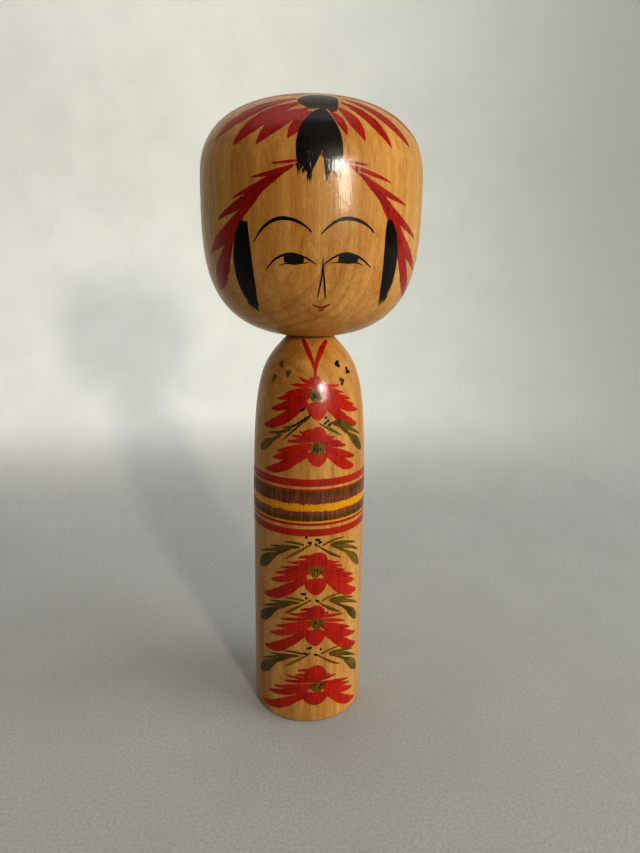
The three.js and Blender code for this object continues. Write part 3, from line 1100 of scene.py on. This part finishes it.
def high_spray(green, black, ochre):
    for brush, strokes in ((green, HIGH_SPRAY), (ochre, FADED_LEAVES)):
        for knots, half, peak in strokes:
            width = swell(peak, 0.85) if peak else teardrop(0.3, 0.66)
            brush.stroke(knots, half, width, wobble=0.18)
    draw = random.Random(21)
    black.stroke([(-1.4, 131.9), (-5.0, 129.6), (-9.0, 127.0)], 0.11, swell(0.3, 0.7), wobble=0.5)
    for share in (0.02, 0.1, 0.17, 0.25, 0.36, 0.5, 0.66, 0.8):
        x, y = -1.8 - 13.0 * share, 131.4 - 7.8 * share
        reach = draw.uniform(0.8, 1.3)
        lean = draw.uniform(-0.25, 0.5)
        knots = [(x - lean, y - reach), (x + draw.uniform(-0.1, 0.1), y), (x + lean, y + reach * 0.8)]
        black.stroke(knots, 0.13, swell(0.5, 0.7))
    for x, y in ((-4.4, 133.8), (-5.4, 133.4), (4.6, 130.6), (5.4, 129.4), (4.4, 128.6), (6.0, 127.8)):
        black.stroke([(x - 0.6, y - 0.3), (x, y), (x + 0.6, y + 0.3)], 0.36, swell(0.5, 0.6))


def paint_body(colours):
    red = Brushwork(body_chart, 0.5, 13.0)
    collar(red)
    for flower in FLOWERS:
        flower_red(red, flower)
    green = Brushwork(body_chart, 0.4, 17.0)
    ochre = Brushwork(body_chart, 0.3, 23.0)
    black = Brushwork(body_chart, 0.3, 19.0)
    for number, flower in enumerate(FLOWERS):
        flower_heart(ochre, black, flower, number)
    dot_marks(black, green, ochre)
    low_sprays(green, black, ochre)
    high_spray(green, black, ochre)
    painted_skin("body_red", red, 0.03, colours["red"], "body", "red_paint")
    painted_skin("body_green", green, 0.05, colours["green"], "body", "green_paint")
    painted_skin("body_ochre", ochre, 0.05, colours["ochre"], "body", "green_paint")
    painted_skin("body_black", black, 0.07, colours["black"], "body", "black_paint")


# belt rings: low and high mm, lift, dye, slot, raggedness of both edges, seed, width of a tooth
BELT = {
    "belt_yellow": (89.2, 102.4, 0.02, "yellow", "yellow_paint", (0.1, 0.1), 1, 0.4),
    "belt_red_top": (104.1, 107.0, 0.03, "belt_red", "red_paint", (0.08, 0.12), 2, 0.4),
    "belt_red_upper": (102.0, 103.0, 0.035, "belt_red", "red_paint", (0.12, 0.06), 3, 0.4),
    "belt_red_lower": (88.2, 89.2, 0.035, "belt_red", "red_paint", (0.06, 0.12), 4, 0.4),
    "belt_red_bottom": (83.9, 86.8, 0.03, "belt_red", "red_paint", (0.12, 0.08), 5, 0.4),
    "belt_purple_upper": (97.4, 101.0, 0.045, "belt_purple", "purple_paint", (1.0, 0.1), 8, 0.3),
    "belt_purple_lower": (91.4, 93.8, 0.045, "belt_purple", "purple_paint", (0.1, 0.9), 9, 0.3),
    "belt_green_upper": (100.6, 102.1, 0.06, "belt_green", "green_paint", (1.4, 0.05), 6, 0.28),
    "belt_green_lower": (90.2, 91.8, 0.06, "belt_green", "green_paint", (0.5, 1.2), 7, 0.28),
}


def paint_belt(colours):
    """Rings put on while the body spun: clean red ones, and streaky ones over yellow."""
    for name, (low, high, lift, dye, slot, ragged, seed, teeth) in BELT.items():
        ring_skin(name, low, high, lift, colours[dye], slot, ragged, seed, teeth)


# ---------------------------------------------------------------- studio, light and camera

FRONT_TURN = -6.0  # degrees: the photographed doll is turned a little to its left


def cove_colour_and_painted_shade(n):
    place = n.add("ShaderNodeTexCoord").outputs["Object"]
    speck = n.noise(place, 900, 3, 0.6)
    cloud = n.noise(place, 22, 3, 0.5)
    xyz = n.add("ShaderNodeSeparateXYZ", {0: place})
    pale = n.mix(n.between(speck, 0.35, 0.65), rgb(172, 172, 173), rgb(186, 186, 186))
    pale = n.mix(n.between(cloud, 0.35, 0.7, 0.0, 0.35), pale, rgb(170, 170, 170))
    wall = n.mix(n.between(cloud, 0.3, 0.7), rgb(236, 236, 233), rgb(230, 230, 227))
    # painted shade: past x = 0.45 m the walls turn a darker grey, a shaded side painted into the wall's
    # colour
    wall = n.mix(n.between(xyz.outputs[0], -0.1, 0.45), wall, rgb(170, 172, 170))
    # painted shade: towards -Y, behind the camera, the wall turns dark grey, a painted shade that the doll's
    # gloss reflects
    wall = n.mix(n.between(xyz.outputs[1], -0.1, -0.9), wall, rgb(140, 138, 134))
    return n.mix(n.between(xyz.outputs[2], 0.0, 0.05), pale, wall)


def floor_material():
    def make(n):
        return n.add("ShaderNodeBsdfPrincipled", {"Base Color": cove_colour_and_painted_shade(n), "Roughness": 0.85}).outputs[0]

    return new_material("pale cove", make)


def cove():
    """A seamless floor that curves up into walls: close behind the doll, and far off elsewhere."""
    middle, reach, fillet, wall = (0.0, -1.55), (2.3, 1.72), 0.3, 1.6
    profile = [(-1.0, 0.0), (-0.5, 0.0)]
    profile += [(fillet * math.sin(a), fillet * (1 - math.cos(a))) for a in np.linspace(0, math.pi / 2, 17)]
    profile += [(fillet, fillet + wall)]
    count = 160
    points, faces = [(middle[0], middle[1], 0.0)], []
    for out, up in profile:
        for step in range(count):
            angle = 2 * math.pi * step / count
            c, s = math.cos(angle), math.sin(angle)
            edge_x = reach[0] * math.copysign(abs(c) ** 0.5, c)
            edge_y = reach[1] * math.copysign(abs(s) ** 0.5, s)
            length = math.hypot(edge_x, edge_y)
            grow = 1 + out / length if out >= 0 else 1 + out
            points.append((middle[0] + edge_x * grow, middle[1] + edge_y * grow, up))
    for step in range(count):
        faces.append([1 + (step + 1) % count, 0, 1 + step][::-1])
    for row in range(len(profile) - 1):
        for step in range(count):
            after = (step + 1) % count
            a, b = 1 + row * count, 1 + (row + 1) * count
            faces.append([a + step, b + step, b + after, a + after])
    mesh = smooth_mesh("cove", points, faces)
    mesh.materials.append(floor_material())
    floor = bpy.data.objects.new("cove", mesh)
    bpy.context.scene.collection.objects.link(floor)


def area_light(name, azimuth, elevation, distance, size, power, color, aim):
    light = bpy.data.lights.new(name, "AREA")
    light.shape = "RECTANGLE"
    light.size, light.size_y = size
    light.energy = power
    light.color = color
    lamp = bpy.data.objects.new(name, light)
    around, up = math.radians(azimuth), math.radians(elevation)
    way = Vector((math.sin(around) * math.cos(up), -math.cos(around) * math.cos(up), math.sin(up)))
    lamp.location = Vector(aim) + way * distance
    lamp.rotation_euler = way.to_track_quat("Z", "Y").to_euler()
    lamp.visible_camera = False
    bpy.context.scene.collection.objects.link(lamp)
    return lamp


# lamps: azimuth and elevation in degrees, distance and size in metres, power, colour, where it aims
LAMPS = {
    "window": (71, 15, 1.5, (1.2, 0.8), 13.0, (0.94, 1.0, 0.97), (0, 0, 0.16)),
    "pane": (20, 12, 1.0, (0.075, 0.11), 3.2, (1.0, 0.88, 0.68), (0, 0, 0.2)),
    "glint": (20, 12, 1.0, (0.035, 0.05), 1.3, (1.0, 0.99, 0.97), (0, 0, 0.2)),
    "sill": (27, 10, 1.1, (0.2, 0.28), 4.4, (1.0, 0.98, 0.94), (0, 0, 0.2)),
    "sky": (0, 82, 1.9, (3.0, 3.0), 7.0, (1.0, 0.99, 0.98), (0, 0, 0.13)),
    "wash": (0, 62, 0.75, (1.1, 0.7), 1.1, (1.0, 0.99, 0.97), (-0.25, 0.47, 0.3)),
}
WASH_SPREAD = 110  # degrees
WORLD_STRENGTH = 0.03


def studio():
    cove()
    lamps = {name: area_light(name, *setting) for name, setting in LAMPS.items()}
    lamps["window"].visible_glossy = False
    lamps["glint"].visible_diffuse = False
    lamps["sill"].visible_diffuse = False
    lamps["wash"].data.spread = math.radians(WASH_SPREAD)
    world = bpy.data.worlds.new("studio")
    world.use_nodes = True
    background = world.node_tree.nodes["Background"]
    background.inputs["Color"].default_value = rgb(228, 226, 222)
    background.inputs["Strength"].default_value = WORLD_STRENGTH
    bpy.context.scene.world = world


CAMERA_LENS, CAMERA_SENSOR = 27.05, 36  # mm
CAMERA_PLACE = (0.004275, -0.25117, 0.1877)  # metres, before the turn to the doll's front
CAMERA_DOWN, CAMERA_ROLL = 14.686, 0.752  # degrees


def camera():
    """A phone's wide lens held a forearm away, a little above the doll and looking down on it."""
    lens = bpy.data.cameras.new("camera")
    lens.lens = CAMERA_LENS
    lens.sensor_width = CAMERA_SENSOR
    eye = bpy.data.objects.new("camera", lens)
    turn = Matrix.Rotation(math.radians(FRONT_TURN), 4, "Z")
    tilt = Matrix.Rotation(math.radians(90 - CAMERA_DOWN), 4, "X")
    roll = Matrix.Rotation(math.radians(CAMERA_ROLL), 4, "Z")
    eye.matrix_world = turn @ Matrix.Translation(CAMERA_PLACE) @ tilt @ roll
    bpy.context.scene.collection.objects.link(eye)
    bpy.context.scene.camera = eye


# ---------------------------------------------------------------- the doll

BLACK_DYE = ((34, 28, 20), (4, 3, 3), 0.95, 0.65, 0.35)
YELLOW_UNDERCOAT = (222, 166, 8)
# the dyes: colour where thin and where deep, least cover, and how much streaks and pores count
DYES = {
    "head": {
        "crimson": ((188, 50, 36), (134, 16, 16), 0.8, 0.5, 0.7),
        "wash": ((76, 62, 50), (26, 22, 18), 0.6, 0.9, 0.3),
        "black": BLACK_DYE,
    },
    "body": {
        "black": BLACK_DYE,
        "red": ((206, 54, 16), (152, 14, 6), 0.8, 0.45, 0.8),
        "green": ((134, 116, 16), (36, 42, 6), 0.75, 0.85),
        "ochre": ((154, 124, 22), (76, 60, 10), 0.7, 0.65),
        "yellow": ((236, 188, 12), (216, 158, 6), 0.95, 0.5),
        "belt_red": ((190, 54, 18), (146, 24, 10), 0.75, 0.25, 0.8),
        "belt_green": ((134, 102, 20), (50, 48, 14), 0.15, 0.15, 1.2, YELLOW_UNDERCOAT),
        "belt_purple": ((150, 92, 62), (82, 44, 50), 0.15, 0.15, 1.2, YELLOW_UNDERCOAT),
    },
}
GRAIN_SHIFTS = {"head": (0.0, 0.0, 0.0), "body": (0.013, -0.021, 0.4)}  # each is its own block


def build_doll():
    group = wood_group()
    outlines = {"head": head_outline(), "body": body_outline()}
    colours = {}
    for body, outline in outlines.items():
        shift = GRAIN_SHIFTS[body]
        wood = polished("waxed wood", group, shift)
        piece = turned(f"{body}_wood_turned", outline, wood, body, f"{body}_wood")
        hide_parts(body)
        colours[body] = {name: dyed(f"{name} dye", group, shift, *dye) for name, dye in DYES[body].items()}
    paint_head(colours["head"])
    paint_body(colours["body"])
    paint_belt(colours["body"])


build_doll()
studio()
camera()
bpy.context.scene.view_settings.view_transform = "Standard"
bpy.context.scene.view_settings.look = "High Contrast"
